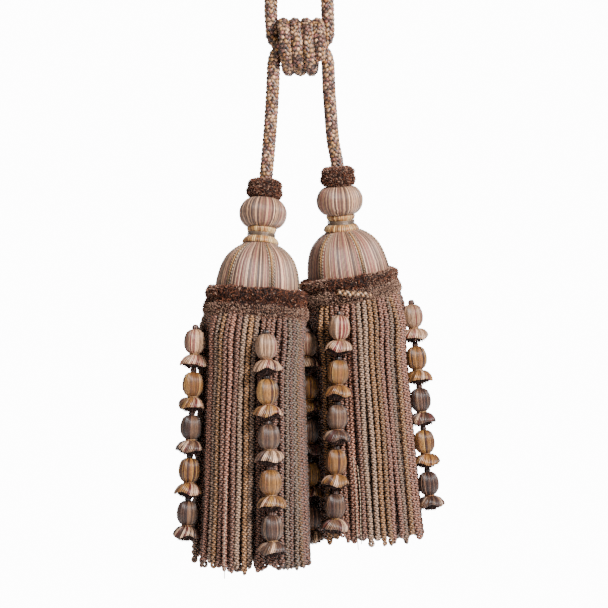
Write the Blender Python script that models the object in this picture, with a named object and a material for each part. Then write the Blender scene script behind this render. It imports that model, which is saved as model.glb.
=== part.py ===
"""A double tassel tieback, hanging from the top of its loop.

Metres, +Z up, with -Y the front and +X the right. The origin is the inside of the loop's top, on a hook.
"""

import math

import bmesh
import bpy
from mathutils import Matrix, Vector

MM = 0.001

# Driving dimensions
GAP = 0.3 * MM
CORD_RADIUS = 4.2 * MM
PLAIT_RELIEF = 0.12
PLAIT_STEP = 3.4 * MM

# The barrel knot is a cord wound round a level axis, pressed a little thinner than the free cord
KNOT_HEIGHT = -74.9 * MM
WRAP_CORD_RADIUS = 3.8 * MM
WRAP_RADIUS = 16.0 * MM
WRAP_PITCH = 7.95 * MM
WRAP_FIRST_TOP = -11.2 * MM
WRAP_START_TURN = -0.25
WRAP_END_TURN = 3.37

# The tassel head, from the ruff's top down along its own axis
BALL_TOP = 14.5 * MM
BALL_HEIGHT = 20.5 * MM
NECK_HEIGHT = 11.0 * MM
DOME_HEIGHT = 48.2 * MM
COLLAR_HEIGHT = 17.4 * MM
DOME_RADIUS = 29.2 * MM
COLLAR_RADIUS = 35.8 * MM
NECK_FOOT_RADIUS = 12.6 * MM

# The fringe
HEADING_RADIUS = 36.0 * MM
HEADING_HEIGHT = 3.0 * MM
ROW_DEPTH = 4.0 * MM
SKIRT_LENGTH = 165.2 * MM
SKIRT_BOTTOM_RADIUS = 42.0 * MM
STRAND_RADIUS = 2.0 * MM
STRANDS_ROUND = 56
STRAND_INSET = 0.35 * MM
BEND_DEPTH = 26.0 * MM
PRESS_LEVELS = 8

# The strings of drops
DROPS_A_STRING = 5
BEAD_CENTRE = 11.5 * MM
STRING_OFFSET = 6.2 * MM
DROP_REACH = 9.7 * MM

# Each route point: to the right, to the back, up, in millimetres
CORD_ROUTE = (
    (-23.9, -14.8, -180.9),
    (-22.8, -13.0, -166.9),
    (-20.6, -10.2, -141.8),
    (-19.0, -7.9, -118.6),
    (-18.0, -6.2, -98.0),
    (-17.7, -5.8, -90.0),
    (-16.9, -5.6, -84.0),
    (-14.6, -5.5, -79.0),
    (-10.0, -5.4, -75.9),
    (-4.1, -3.2, -79.4),
    (1.8, 0.9, -80.3),
    (7.6, 4.5, -78.0),
    (12.8, 5.4, -74.0),
    (17.0, 5.4, -71.3),
    (20.0, 4.4, -67.0),
    (20.4, 2.5, -61.0),
    (20.2, 1.0, -54.0),
    (19.8, 0.0, -42.0),
    (18.9, 0.0, -32.0),
    (17.6, 0.0, -21.0),
    (15.2, 0.0, -10.5),
    (10.8, 0.0, -0.2),
    (0.0, 0.0, 4.2),
    (-10.8, 0.0, -0.2),
    (-15.2, 0.0, -10.5),
    (-17.4, 0.0, -21.0),
    (-18.7, 0.0, -32.0),
    (-19.5, 0.0, -42.0),
    (-19.7, 0.6, -51.0),
    (-19.3, 1.6, -57.5),
    (-18.9, 2.8, -62.5),
    (-18.6, 4.2, -67.0),
    (-15.5, 5.3, -71.5),
    (-10.5, 5.4, -73.9),
    (-4.1, 3.2, -70.4),
    (1.8, -0.9, -69.5),
    (7.6, -4.5, -71.8),
    (12.8, -5.4, -75.8),
    (17.4, -5.2, -79.5),
    (19.8, -4.6, -84.5),
    (20.4, -3.8, -91.0),
    (20.9, -1.8, -104.0),
    (21.9, 0.2, -117.6),
    (23.9, 3.9, -140.3),
    (26.7, 8.0, -154.5),
    (27.9, 10.1, -170.0),
)

# Leans are degrees to the right and to the back, going down
TASSELS = {
    "left": {
        "ruff_top": (-22.8, -13.0, -166.9),
        "upper_lean": (-4.4, -7.4),
        "lower_lean": (-3.9, -2.0),
        "skirt_lean": (0.0, -1.5),
    },
    "right": {
        "ruff_top": (27.0, 8.3, -156.0),
        "upper_lean": (3.8, 7.4),
        "lower_lean": (9.0, 5.5),
        "skirt_lean": (3.5, 1.5),
    },
}

# Angles are degrees round the tassel from the front towards the right, at the string's top and bottom.
# Columns: tassel, angle at the top, angle at the bottom, height of the first bead and pitch in mm
STRINGS = (
    ("left", -72, -76, -279.2, 29.0),
    ("left", 11, 15, -281.8, 29.7),
    ("left", 124, 126, -282.1, 30.3),
    ("left", 206, 206, -281.0, 29.5),
    ("right", -15, -27, -269.9, 30.7),
    ("right", 78, 78, -262.3, 29.6),
    ("right", 162, 162, -268.0, 30.0),
    ("right", -112, -112, -269.0, 30.2),
)

# Columns: material, base colour, roughness, metallic
MATERIALS = (
    ("plaited_cord", (0.48, 0.33, 0.24), 0.62, 0.0),
    ("chenille", (0.13, 0.05, 0.032), 0.85, 0.0),
    ("rose_thread", (0.58, 0.44, 0.38), 0.5, 0.0),
    ("gold_thread", (0.58, 0.38, 0.19), 0.45, 0.0),
    ("wire_thread", (0.32, 0.27, 0.21), 0.35, 0.6),
    ("bullion_fringe", (0.30, 0.18, 0.14), 0.7, 0.0),
    ("rose_drop", (0.55, 0.42, 0.36), 0.5, 0.0),
    ("gold_drop", (0.55, 0.36, 0.17), 0.5, 0.0),
    ("mauve_drop", (0.35, 0.26, 0.23), 0.5, 0.0),
)
DROP_MATERIALS = ("rose_drop", "gold_drop", "mauve_drop", "gold_drop", "mauve_drop")


def make_materials():
    for name, colour, roughness, metallic in MATERIALS:
        material = bpy.data.materials.new(name)
        material.use_nodes = True
        shader = material.node_tree.nodes["Principled BSDF"]
        shader.inputs["Base Color"].default_value = (*colour, 1.0)
        shader.inputs["Roughness"].default_value = roughness
        shader.inputs["Metallic"].default_value = metallic


def finish(shape, name, material, place=Matrix()):
    """Turns a bmesh into a named, smooth-shaded object with its origin at its own place."""
    bmesh.ops.recalc_face_normals(shape, faces=shape.faces)
    if shape.calc_volume(signed=True) < 0:
        bmesh.ops.reverse_faces(shape, faces=shape.faces)
    mesh = bpy.data.meshes.new(name)
    shape.to_mesh(mesh)
    shape.free()
    mesh.shade_smooth()
    mesh.set_sharp_from_angle(angle=math.radians(50))
    mesh.materials.append(bpy.data.materials[material])
    solid = bpy.data.objects.new(name, mesh)
    solid.matrix_world = place
    bpy.context.collection.objects.link(solid)
    return solid


def turned(profile, sides, closed=False):
    """Spins a profile of (radius, height) pairs about Z. An open one gets flat ends."""
    shape = bmesh.new()
    points = [shape.verts.new((radius, 0, height)) for radius, height in profile]
    pairs = list(zip(points, points[1:]))
    if closed:
        pairs.append((points[-1], points[0]))
    edges = [shape.edges.new(pair) for pair in pairs]
    whole = {"steps": sides, "angle": math.tau, "use_merge": True}
    bmesh.ops.spin(shape, geom=points + edges, axis=(0, 0, 1), cent=(0, 0, 0), **whole)
    bmesh.ops.remove_doubles(shape, verts=shape.verts, dist=1e-7)
    rims = [edge for edge in shape.edges if edge.is_boundary]
    if rims:
        bmesh.ops.holes_fill(shape, edges=rims, sides=0)
    return shape


def reshape(shape, change):
    """Moves each point by change(radius, angle, height), which gives its new radius and height."""
    for point in shape.verts:
        radius = math.hypot(point.co.x, point.co.y)
        angle = math.atan2(point.co.y, point.co.x)
        radius, height = change(radius, angle, point.co.z)
        point.co = (radius * math.cos(angle), radius * math.sin(angle), height)


def smooth_route(points, step):
    """Evenly spaced points on a smooth curve through the given ones."""
    points = [Vector(point) for point in points]
    ends = [2 * points[0] - points[1], *points, 2 * points[-1] - points[-2]]
    fine = []
    pieces = 12
    for before, start, end, after in zip(ends, ends[1:], ends[2:], ends[3:]):
        for part in range(pieces):
            t = part / pieces
            fine.append(
                0.5
                * (
                    2 * start
                    + (end - before) * t
                    + (2 * before - 5 * start + 4 * end - after) * t**2
                    + (3 * start - before - 3 * end + after) * t**3
                )
            )
    fine.append(points[-1])
    lengths = [0.0]
    for start, end in zip(fine, fine[1:]):
        lengths.append(lengths[-1] + (end - start).length)
    count = max(2, round(lengths[-1] / step))
    even = []
    place = 0
    for index in range(count + 1):
        target = lengths[-1] * index / count
        while place < len(fine) - 2 and lengths[place + 1] < target:
            place += 1
        share = (target - lengths[place]) / (lengths[place + 1] - lengths[place])
        even.append(fine[place].lerp(fine[place + 1], share))
    return even


def grown_from(point, fresh):
    """The new point that was drawn out of an old one."""
    return next(edge.other_vert(point) for edge in point.link_edges if edge.other_vert(point) in fresh)


def plaited(centres, radius_at, sides):
    """A round cord along centres, with the plait's lobes raised in its points."""
    shape = bmesh.new()
    ring = bmesh.ops.create_circle(shape, segments=sides, radius=radius_at(0))["verts"]
    normal = None
    for index, centre in enumerate(centres):
        ahead = centres[min(index + 1, len(centres) - 1)] - centres[max(index - 1, 0)]
        ahead.normalize()
        if normal is None:
            normal = ahead.orthogonal()
        normal = (normal - ahead * normal.dot(ahead)).normalized()
        across = ahead.cross(normal)
        if index:
            rim = [shape.edges.get(pair) for pair in zip(ring, ring[1:] + ring[:1])]
            grown = bmesh.ops.extrude_edge_only(shape, edges=rim)["geom"]
            fresh = {item for item in grown if isinstance(item, bmesh.types.BMVert)}
            ring = [grown_from(point, fresh) for point in ring]
        for corner, point in enumerate(ring):
            angle = math.tau * corner / sides
            lobe = PLAIT_RELIEF if (corner + index) % 2 else 0.0
            reach = radius_at(index / (len(centres) - 1)) * (1 - lobe)
            point.co = centre + reach * (math.cos(angle) * normal + math.sin(angle) * across)
    rims = [edge for edge in shape.edges if edge.is_boundary]
    bmesh.ops.holes_fill(shape, edges=rims, sides=0)
    return shape


def hanging_direction(lean):
    right, back = lean
    return Vector((math.tan(math.radians(right)), math.tan(math.radians(back)), -1)).normalized()


def placed(point, lean):
    """The place of a piece whose own -Z runs down along the leaning axis."""
    turn = Vector((0, 0, -1)).rotation_difference(hanging_direction(lean)).to_matrix().to_4x4()
    return Matrix.Translation(point) @ turn


def heading_place(tassel):
    """Where the top of the fringe's heading sits, just under the dome."""
    return dome_place(tassel) @ Matrix.Translation((0, 0, -DOME_HEIGHT - GAP))


def neck_top():
    return BALL_TOP + BALL_HEIGHT + GAP


def dome_place(tassel):
    """The dome hangs from the neck's foot. The neck gives, so the two axes differ by a few degrees."""
    facts = TASSELS[tassel]
    upper = hanging_direction(facts["upper_lean"])
    turn = upper.angle(hanging_direction(facts["lower_lean"]))
    down = neck_top() + NECK_HEIGHT + GAP + NECK_FOOT_RADIUS * math.tan(turn)
    return placed(Vector(facts["ruff_top"]) * MM + upper * down, facts["lower_lean"])


def skirt_centre(tassel, height):
    """The fringe's axis at a height."""
    top = heading_place(tassel).translation
    down = hanging_direction(TASSELS[tassel]["skirt_lean"])
    return top + down * ((top.z - height) / -down.z)


def skirt_radius(tassel, height):
    """The outside of the fringe at a height: it widens a little towards the tips."""
    share = (heading_place(tassel).translation.z - height) / SKIRT_LENGTH
    return HEADING_RADIUS + (SKIRT_BOTTOM_RADIUS - HEADING_RADIUS) * share


def round_the_front(angle):
    """The direction at an angle from the front towards the right."""
    return Vector((math.sin(angle), -math.cos(angle), 0))


def string_point(string, height):
    """The middle of a string of drops at a height, on the line between its first and last bead."""
    tassel, top_angle, bottom_angle, first, pitch = string
    ends = []
    for angle, down in ((top_angle, 0), (bottom_angle, DROPS_A_STRING - 1)):
        level = (first - pitch * down) * MM
        reach = skirt_radius(tassel, level) + STRING_OFFSET
        ends.append(skirt_centre(tassel, level) + round_the_front(math.radians(angle)) * reach)
    top, bottom = ends
    return top + (bottom - top) * ((top.z - height) / (top.z - bottom.z))


def pressed(tassel, angle, row):
    """How far a strand is pushed in by the drops of either tassel, which lie on it somewhere."""
    need = DROP_REACH + STRAND_RADIUS + GAP
    top = heading_place(tassel).translation.z
    push = 0.0
    for level in range(PRESS_LEVELS):
        height = top - BEND_DEPTH - (SKIRT_LENGTH - BEND_DEPTH) * level / PRESS_LEVELS
        centre = skirt_centre(tassel, height)
        for string in STRINGS:
            away = string_point(string, height) - centre
            distance = away.length
            turn = angle - math.atan2(away.x, -away.y)
            aside = distance * abs(math.sin(turn))
            if math.cos(turn) > 0 and aside < need:
                limit = distance * math.cos(turn) - math.sqrt(need**2 - aside**2) - row * ROW_DEPTH
                push = max(push, free_reach(tassel, height, row) - limit)
    return push


def free_reach(tassel, height, row):
    """How far from the axis the middle of a strand hangs, where nothing presses it."""
    middle = HEADING_RADIUS - ROW_DEPTH * (row + 0.5)
    return middle * skirt_radius(tassel, height) / HEADING_RADIUS


def tip_drop(angle, row):
    """The strands end unevenly, by a few millimetres."""
    return (2.1 * math.sin(angle * 7 + row) + 1.4 * math.sin(angle * 17 + 2 * row)) * MM


def make_skirt(tassel):
    """The heading is a disc, and each strand is drawn down from one face of its underside."""
    rows = [HEADING_RADIUS - ROW_DEPTH * row for row in range(4)]
    profile = [(HEADING_RADIUS, 0.0)] + [(radius, -HEADING_HEIGHT) for radius in rows]
    shape = turned(profile, STRANDS_ROUND)
    place = heading_place(tassel)
    for row in range(3):
        middle = HEADING_RADIUS - ROW_DEPTH * (row + 0.5)
        chosen = []
        for face in shape.faces:
            heart = face.calc_center_median()
            if len(face.verts) != 4 or abs(heart.z + HEADING_HEIGHT) > GAP:
                continue
            column = round(math.atan2(heart.y, heart.x) / math.tau * STRANDS_ROUND - 0.5)
            if abs(heart.xy.length - middle) < ROW_DEPTH / 4 and column % 2**row == 0:
                chosen.append(face)
        bmesh.ops.inset_individual(shape, faces=chosen, thickness=STRAND_INSET)
        for face in chosen:
            draw_strand(shape, tassel, place, face, row)
    finish(shape, f"{tassel}_skirt", "bullion_fringe", place)


def draw_strand(shape, tassel, place, face, row):
    """Draws one strand down from a face. A strand that drops lie on first bends in under the heading."""
    start = place.to_3x3() @ face.calc_center_median()
    angle = math.atan2(start.x, -start.y)
    push = pressed(tassel, angle, row)
    levels = [-SKIRT_LENGTH + tip_drop(angle, row)]
    if push > 0 and row < 2:
        levels.insert(0, -BEND_DEPTH)
    back = place.inverted()
    for level in levels:
        face = bmesh.ops.extrude_discrete_faces(shape, faces=[face])["faces"][0]
        height = place.translation.z + level
        reach = free_reach(tassel, height, row) - push
        goal = skirt_centre(tassel, height) + round_the_front(angle) * reach
        move = goal - place @ face.calc_center_median()
        for point in face.verts:
            point.co = back @ (place @ point.co + move)


def make_head(tassel):
    facts = TASSELS[tassel]
    top = Vector(facts["ruff_top"]) * MM
    down = hanging_direction(facts["upper_lean"])
    upper = placed(top, facts["upper_lean"])

    hole = CORD_RADIUS + 2 * GAP
    profile = ((hole / MM, -0.8), (8.4, 0.0), (11.6, -2.6), (12.6, -7.0), (12.2, -11.4), (9.6, -14.2))
    profile += ((hole / MM, -14.2),)
    shape = turned([(r * MM, z * MM) for r, z in profile], 16, closed=True)
    reshape(shape, lambda r, a, z: (r if r < hole * 1.01 else r * (1 + 0.03 * math.sin(5 * a)), z))
    finish(shape, f"{tassel}_top_ruff", "chenille", upper)

    profile = ((9.4, 0.0), (13.6, -2.6), (16.0, -7.0), (16.4, -10.6), (15.4, -15.2), (12.6, -18.8))
    profile += ((9.2, -20.5),)
    shape = turned([(r * MM, z * MM) for r, z in profile], 16)
    finish(shape, f"{tassel}_ball", "rose_thread", placed(top + down * BALL_TOP, facts["upper_lean"]))

    neck = placed(top + down * neck_top(), facts["upper_lean"])
    profile = ((9.6, 0.0), (10.0, -1.6), (9.4, -3.2), (8.5, -3.7), (8.5, -6.1), (10.6, -6.8))
    profile += ((12.2, -8.8), (12.6, -11.0))
    shape = turned([(r * MM, z * MM) for r, z in profile], 16)
    finish(shape, f"{tassel}_neck", "gold_thread", neck)

    profile = ((8.9, -3.9), (9.9, -4.0), (9.9, -5.7), (8.9, -5.8))
    shape = turned([(r * MM, z * MM) for r, z in profile], 16, closed=True)
    finish(shape, f"{tassel}_wire_wrap", "wire_thread", neck)

    profile = ((12.4, 0.0), (17.9, -3.6), (22.6, -8.4), (25.8, -14.6), (27.8, -21.8), (28.9, -29.6))
    profile += ((DOME_RADIUS / MM, -DOME_HEIGHT / MM),)
    shape = turned([(r * MM, z * MM) for r, z in profile], 24)
    shape.transform(Matrix.Rotation(math.radians(-70), 4, "Z"))
    reshape(shape, raise_gimp)
    finish(shape, f"{tassel}_dome", "rose_thread", dome_place(tassel))

    inner = DOME_RADIUS + 2 * GAP
    profile = [(inner, 0.0), (inner, -COLLAR_HEIGHT), (COLLAR_RADIUS - 3.4 * MM, -COLLAR_HEIGHT)]
    for depth, height in ((0.8, -15.2), (0.4, -11.4), (1.6, -8.6), (0.0, -5.8), (0.6, -2.0), (2.8, 0.5)):
        profile.append((COLLAR_RADIUS - depth * MM, height * MM))
    shape = turned(profile, 30, closed=True)
    reshape(shape, lambda r, a, z: (r if r < inner * 1.01 else r * (1 + 0.012 * math.sin(9 * a)), z))
    collar_top = Matrix.Translation((0, 0, COLLAR_HEIGHT - DOME_HEIGHT))
    finish(shape, f"{tassel}_collar_ruff", "chenille", dome_place(tassel) @ collar_top)


def raise_gimp(radius, angle, height):
    """Six lines of gimp stand half a millimetre proud of the dome's threads."""
    share = (angle - math.radians(-70)) / math.radians(60)
    on_line = abs(share - round(share)) < 0.02 and radius > 13 * MM
    return (radius + 0.5 * MM if on_line and height > -40 * MM else radius), height


def make_drop(string, number, index):
    """A stub of string, an oval bead and a flared petal skirt, turned as one."""
    tassel, _, _, first, pitch = string
    bead = string_point(string, (first - pitch * index) * MM)
    below = string_point(string, (first - pitch * (index + 1)) * MM)
    down = (below - bead).normalized()
    top = bead - down * BEAD_CENTRE
    foot = (pitch * MM - GAP) / MM
    profile = ((1.4, 0.0), (2.4, -2.8), (5.8, -4.8), (7.3, -9.4), (6.9, -14.6), (3.9, -19.6))
    profile += ((9.4, -26.0), (5.0, -27.2), (3.0, -foot))
    shape = turned([(r * MM, z * MM) for r, z in profile], 8)
    for point in shape.verts:
        around = math.atan2(point.co.y, point.co.x)
        if abs(point.co.z + 26.0 * MM) < GAP:
            point.co.z += 0.9 * MM * math.cos(4 * around)
    turn = Vector((0, 0, -1)).rotation_difference(down).to_matrix().to_4x4()
    place = Matrix.Translation(top) @ turn
    if index == 0:
        seat_on_heading(shape, place, tassel)
    finish(shape, f"{tassel}_string_{number}_drop_{index + 1}", DROP_MATERIALS[index], place)


def seat_on_heading(shape, place, tassel):
    """The first drop's stub slants in to the rim of the heading, which its string comes from."""
    heading = heading_place(tassel)
    aside = heading.inverted() @ place.translation
    rim = Vector((aside.x, aside.y, 0)).normalized() * (HEADING_RADIUS + 1.4 * MM + 1.5 * GAP)
    goal = heading @ Vector((rim.x, rim.y, -HEADING_HEIGHT * 0.7))
    move = place.inverted() @ goal
    for point in shape.verts:
        if abs(point.co.z) < GAP:
            point.co += move


def wrap_radius(share):
    """The wrapping cord is pressed narrower at its two ends, where it is tucked in."""
    edge = min(share, 1 - share)
    return WRAP_CORD_RADIUS * min(1.0, 0.55 + edge * 30)


def wrap_points():
    points = []
    turns = WRAP_END_TURN - WRAP_START_TURN
    steps = round(turns * 22)
    for step in range(steps + 1):
        turn = WRAP_START_TURN + turns * step / steps
        angle = math.tau * turn
        x = WRAP_FIRST_TOP + WRAP_PITCH * turn
        y = -WRAP_RADIUS * math.sin(angle)
        points.append(Vector((x, y, KNOT_HEIGHT + WRAP_RADIUS * math.cos(angle))))
    return points


def main():
    for old in list(bpy.data.objects):
        bpy.data.objects.remove(old)
    make_materials()

    route = [Vector(point) * MM for point in CORD_ROUTE]
    shape = plaited(smooth_route(route, PLAIT_STEP), lambda share: CORD_RADIUS, 8)
    finish(shape, "tieback_cord", "plaited_cord")
    finish(plaited(wrap_points(), wrap_radius, 8), "knot_wrap", "plaited_cord")

    for tassel in TASSELS:
        make_head(tassel)
        make_skirt(tassel)
        strings = [string for string in STRINGS if string[0] == tassel]
        for number, string in enumerate(strings, 1):
            for index in range(DROPS_A_STRING):
                make_drop(string, number, index)


main()
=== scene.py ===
# %% [markdown]
# # A double tassel tieback
# The solid frame gives every size and place. Each step below dresses one part of it: the plaited cord
# with its knot, the thread-covered heads, the chenille ruffs, the bullion fringe and the strings of
# threaded drops. Lengths are metres, with +Z up and -Y to the front.

# %% Load the frame
import math

import bmesh
import bpy
import numpy as np
from mathutils import Matrix, Vector


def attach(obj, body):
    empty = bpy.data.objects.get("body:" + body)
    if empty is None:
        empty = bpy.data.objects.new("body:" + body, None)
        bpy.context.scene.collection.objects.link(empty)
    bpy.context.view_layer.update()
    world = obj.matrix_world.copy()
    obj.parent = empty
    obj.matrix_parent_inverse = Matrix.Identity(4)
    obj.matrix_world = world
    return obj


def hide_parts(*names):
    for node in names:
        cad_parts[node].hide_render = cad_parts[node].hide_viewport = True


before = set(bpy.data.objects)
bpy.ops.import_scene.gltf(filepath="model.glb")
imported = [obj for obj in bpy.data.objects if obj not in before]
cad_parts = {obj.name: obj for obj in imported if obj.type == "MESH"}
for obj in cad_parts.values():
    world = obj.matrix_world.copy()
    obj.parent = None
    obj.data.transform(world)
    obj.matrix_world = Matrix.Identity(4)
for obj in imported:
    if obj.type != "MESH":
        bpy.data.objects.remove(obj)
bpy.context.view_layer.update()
MM = 0.001
print("nodes in the frame:", len(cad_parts))

# %% [markdown]
# ## The camera
# It stands level, 1.1 m in front, at the height of the picture's middle. Its lens makes a pixel of the
# picture 0.70 mm wide at the tassels, so that what is measured in the picture can be compared with the
# model.

# %% Camera
camera_data = bpy.data.cameras.new("camera")
camera_data.sensor_width = 36
camera_data.lens = 93.05
camera = bpy.data.objects.new("camera", camera_data)
camera.location = (3.5 * MM, -1.1, -254.8 * MM)
camera.rotation_euler = (math.pi / 2, 0, 0)
bpy.context.collection.objects.link(camera)
bpy.context.scene.camera = camera

# %% [markdown]
# ## Routes and yarns
# Everything on this object is yarn, so one helper makes a set of round yarns as one mesh. They could stay
# curves with a bevel, but a mesh can keep facts for the materials at each point: the yarn's own colour,
# how far along the yarn it lies and, in the UV map, how far round.

# %% Helpers for routes and yarns
def distances_along(points):
    """How far along the route each of its points lies."""
    return np.r_[0, np.cumsum(np.linalg.norm(np.diff(points, axis=0), axis=1))]


def smooth_route(points, step):
    """Evenly spaced points on a smooth curve through the given ones."""
    points = np.array(points, float)
    ends = np.vstack([2 * points[0] - points[1], points, 2 * points[-1] - points[-2]])
    share = np.linspace(0, 1, 12, endpoint=False)[:, None]
    fine = []
    for before, start, end, after in zip(ends, ends[1:], ends[2:], ends[3:]):
        square = (2 * before - 5 * start + 4 * end - after) * share**2
        cube = (3 * start - before - 3 * end + after) * share**3
        fine.append(0.5 * (2 * start + (end - before) * share + square + cube))
    fine = np.vstack([*fine, points[-1:]])
    lengths = distances_along(fine)
    even = np.linspace(0, lengths[-1], max(2, round(lengths[-1] / step)) + 1)
    return np.column_stack([np.interp(even, lengths, fine[:, axis]) for axis in range(3)])


def length_of(points):
    return float(np.linalg.norm(np.diff(points, axis=0), axis=1).sum())


def frames_along(points):
    """Two directions across the route at each point, carried along it without twisting."""
    ahead = np.gradient(points, axis=0)
    ahead /= np.linalg.norm(ahead, axis=1)[:, None]
    normal = np.array(Vector(ahead[0]).orthogonal().normalized())
    normals = []
    for direction in ahead:
        normal = normal - direction * normal.dot(direction)
        normal /= np.linalg.norm(normal)
        normals.append(normal)
    normals = np.array(normals)
    return normals, np.cross(ahead, normals)


def round_route(points, angles, reaches):
    """A path that winds about a route, at these angles and distances from it."""
    normals, sides = frames_along(points)
    cosines, sines = np.cos(angles)[:, None], np.sin(angles)[:, None]
    return points + reaches[:, None] * (cosines * normals + sines * sides)


def add_attribute(mesh, name, values):
    """Stores one number or one colour for each point."""
    kind = "FLOAT" if values.ndim == 1 else "FLOAT_COLOR"
    field = "value" if values.ndim == 1 else "color"
    if values.ndim == 2:
        values = np.column_stack([values, np.ones(len(values))])
    mesh.attributes.new(name, kind, "POINT").data.foreach_set(field, values.ravel().astype(np.float32))


def show(mesh, name, material):
    mesh.materials.clear()
    mesh.materials.append(material)
    piece = bpy.data.objects.new(name, mesh)
    bpy.context.collection.objects.link(piece)
    return piece


def make_yarns(name, paths, radii, colours, material, corners=4):
    """Round yarns as one mesh. Each has one radius and colour, or one for each point of its path."""
    curve = bpy.data.curves.new(name, "CURVE")
    curve.dimensions = "3D"
    curve.bevel_depth = 1.0
    curve.bevel_resolution = (corners - 4) // 2
    for path, radius in zip(paths, radii):
        spline = curve.splines.new("POLY")
        spline.points.add(len(path) - 1)
        spline.points.foreach_set("co", np.column_stack([path, np.ones(len(path))]).ravel())
        spline.points.foreach_set("radius", np.broadcast_to(radius, len(path)).ravel())
    source = bpy.data.objects.new(name, curve)
    mesh = bpy.data.meshes.new_from_object(source)
    bpy.data.objects.remove(source)
    bpy.data.curves.remove(curve)
    shades, along = [], []
    for path, colour in zip(paths, colours):
        colour = np.broadcast_to(colour, (len(path), 3))
        shades.append(np.repeat(colour, corners, axis=0))
        along.append(np.repeat(distances_along(path), corners))
    add_attribute(mesh, "colour", np.vstack(shades))
    add_attribute(mesh, "along", np.concatenate(along))
    mesh.shade_smooth()
    return show(mesh, name, material)


# %% [markdown]
# ## Colours and materials
# The yarns are dyed rayon in rose, cream, gold, mauve and a dark red-brown. A shared node group turns a
# yarn's colour into a fibred one: fine stripes that lean round the yarn, painted shade in the grooves
# between them, flecks where the dye took unevenly, and the height of the stripes for a bump. As it reads
# the yarn's own length and turn, the stripes follow every bend.

# %% Palette
PALE = (0.72, 0.42, 0.25)
CREAM = (0.60, 0.325, 0.17)
PEARL = (0.37, 0.19, 0.10)
ROSE = (0.30, 0.10, 0.07)
DUSTY = (0.17, 0.065, 0.045)
MAUVE = (0.12, 0.052, 0.034)
GOLD = (0.40, 0.19, 0.06)
AMBER = (0.27, 0.095, 0.025)
WINE = (0.11, 0.018, 0.012)
BROWN = (0.026, 0.010, 0.006)


# %% Helpers for node trees
def maths(tree, operation, *values):
    """A Math node's result. Each value is a number or another node's socket."""
    node = tree.nodes.new("ShaderNodeMath")
    node.operation = operation
    for socket, value in zip(node.inputs, values):
        if isinstance(value, (int, float)):
            socket.default_value = value
        else:
            tree.links.new(value, socket)
    return node.outputs[0]


def attribute(tree, name):
    node = tree.nodes.new("ShaderNodeAttribute")
    node.attribute_name = name
    return node


def noise(tree, scale):
    """Soft random spots that stay with the object."""
    coordinates = tree.nodes.new("ShaderNodeTexCoord")
    spots = tree.nodes.new("ShaderNodeTexNoise")
    spots.inputs["Scale"].default_value = scale
    spots.inputs["Detail"].default_value = 1
    tree.links.new(coordinates.outputs["Object"], spots.inputs["Vector"])
    return spots.outputs["Fac"]


# %% Shared fibre group
def make_fibre_group():
    """Stripes that lean round a yarn. Lean counts those met once round, and Pitch is their spacing."""
    group = bpy.data.node_groups.new("fibres", "ShaderNodeTree")
    for name in ("Pitch", "Lean", "Depth", "Fleck"):
        group.interface.new_socket(name, in_out="INPUT", socket_type="NodeSocketFloat")
    group.interface.new_socket("Color", in_out="OUTPUT", socket_type="NodeSocketColor")
    group.interface.new_socket("Height", in_out="OUTPUT", socket_type="NodeSocketFloat")
    nodes, links = group.nodes, group.links
    given = nodes.new("NodeGroupInput")
    result = nodes.new("NodeGroupOutput")

    around = nodes.new("ShaderNodeSeparateXYZ")
    uv = nodes.new("ShaderNodeUVMap")
    links.new(uv.outputs[0], around.inputs[0])
    place = maths(group, "DIVIDE", attribute(group, "along").outputs["Fac"], given.outputs["Pitch"])
    lean = maths(group, "MULTIPLY", around.outputs[0], given.outputs["Lean"])
    wave = maths(group, "SINE", maths(group, "MULTIPLY", maths(group, "ADD", place, lean), math.tau))
    height = maths(group, "MULTIPLY_ADD", wave, 0.5, 0.5)
    links.new(height, result.inputs["Height"])

    # Painted shade: Depth darkens the grooves between the stripes.
    groove_shade = maths(group, "MULTIPLY", maths(group, "SUBTRACT", 1.0, height), given.outputs["Depth"])
    spread = maths(group, "SUBTRACT", noise(group, 900), 0.5)
    fleck = maths(group, "MULTIPLY", spread, given.outputs["Fleck"])
    tone = maths(group, "MULTIPLY", maths(group, "SUBTRACT", 1.0, groove_shade), maths(group, "ADD", 1.0, fleck))
    scale = nodes.new("ShaderNodeVectorMath")
    scale.operation = "SCALE"
    links.new(attribute(group, "colour").outputs["Color"], scale.inputs[0])
    links.new(tone, scale.inputs["Scale"])
    links.new(scale.outputs[0], result.inputs["Color"])
    return group


FIBRES = make_fibre_group()


def make_yarn_material(name, pitch, lean, shade_depth, fleck, bump, roughness=0.55):
    """A dyed yarn: shared stripes give its colour, painted groove shade and bumps, and a low sheen its
    bloom.
    """
    material = bpy.data.materials.new(name)
    material.use_nodes = True
    nodes, links = material.node_tree.nodes, material.node_tree.links
    shader = nodes["Principled BSDF"]
    shader.inputs["Roughness"].default_value = roughness
    shader.inputs["Sheen Weight"].default_value = 0.15
    shader.inputs["Sheen Roughness"].default_value = 0.4
    fibres = nodes.new("ShaderNodeGroup")
    fibres.node_tree = FIBRES
    for socket, value in (("Pitch", pitch), ("Lean", lean), ("Depth", shade_depth), ("Fleck", fleck)):
        fibres.inputs[socket].default_value = value
    raised = nodes.new("ShaderNodeBump")
    raised.inputs["Strength"].default_value = 1.0
    raised.inputs["Distance"].default_value = bump
    links.new(fibres.outputs["Height"], raised.inputs["Height"])
    links.new(raised.outputs[0], shader.inputs["Normal"])
    links.new(fibres.outputs["Color"], shader.inputs["Base Color"])
    return material


CORD_YARN = make_yarn_material("cord yarn", 3.4 * MM, 4, 0.93, 1.2, 0.35 * MM, 0.44)
ROPE_YARN = make_yarn_material("rope yarn", 1.65 * MM, 0, 0.96, 1.0, 0.45 * MM, 0.45)

# %% [markdown]
# ## The plaited cord
# One cord runs from the left tassel up through the knot, round the hanging loop and down to the right
# tassel. It is a round plait of sixteen yarns, eight each way, and each passes over two and under two. A
# tube with a bump could stand for it, but real yarns stand proud at the cord's edge, so each is swept
# along its own path.

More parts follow.
